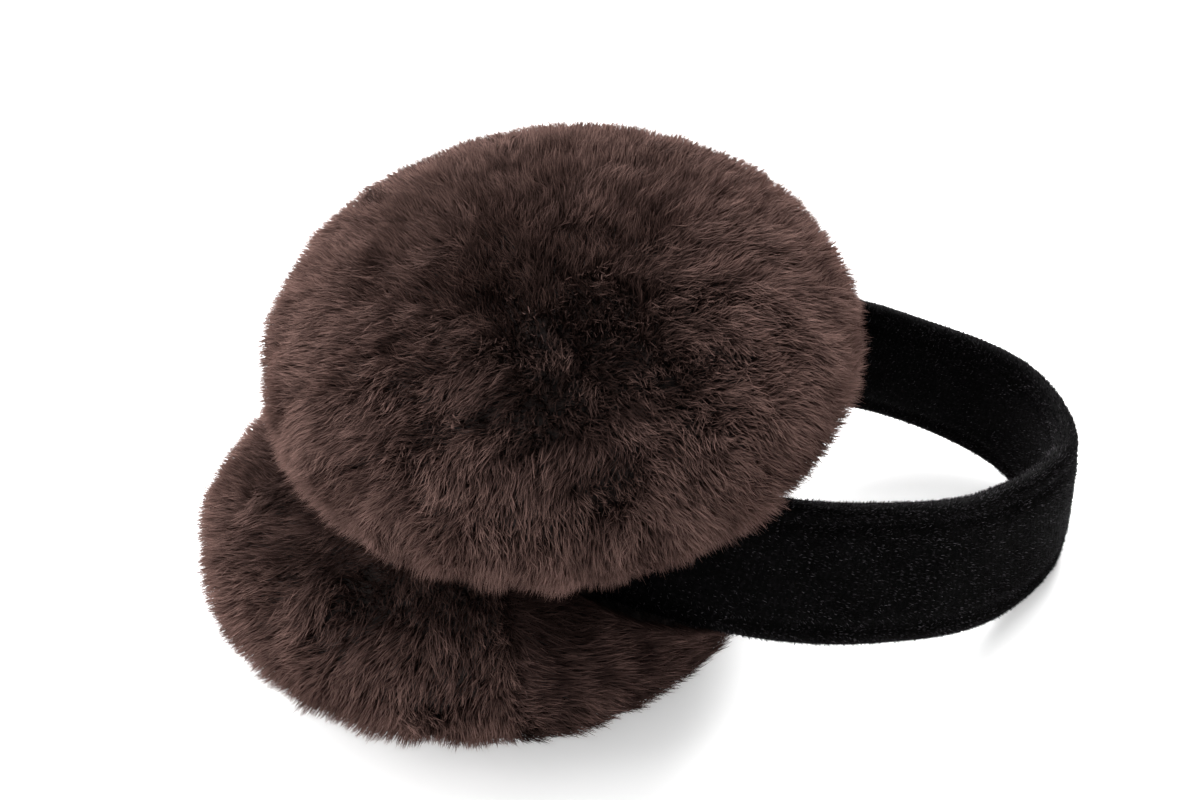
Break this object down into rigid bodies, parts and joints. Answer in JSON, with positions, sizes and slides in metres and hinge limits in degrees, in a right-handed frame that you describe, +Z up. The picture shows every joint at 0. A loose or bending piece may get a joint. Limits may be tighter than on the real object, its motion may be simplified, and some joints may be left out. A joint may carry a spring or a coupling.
{
  "type": "fur earmuffs",
  "caption": "Fur earmuffs laid down folded: round domed fur pads stacked back to back on the flat ends of a padded velvet headband loop.",
  "frame": {"origin": "middle of the flat face that the lower pad rests on", "axes": "+Z up; +X from the pads out to the crown of the headband; +Y away from the viewer, to the side on which the band rises to the upper pad"},
  "size_m": [0.1914, 0.1247, 0.0974],
  "materials": {
    "fur": "dense brown plucked fur, darker at the roots, matt with a faint sheen on the tips",
    "velvet": "black velvet with a short pile, matt, a faint sheen at grazing angles"
  },
  "bodies": {
    "root": {"headband": "velvet", "lower_fur_pad": "fur", "upper_fur_pad": "fur"}
  },
  "joints": []
}
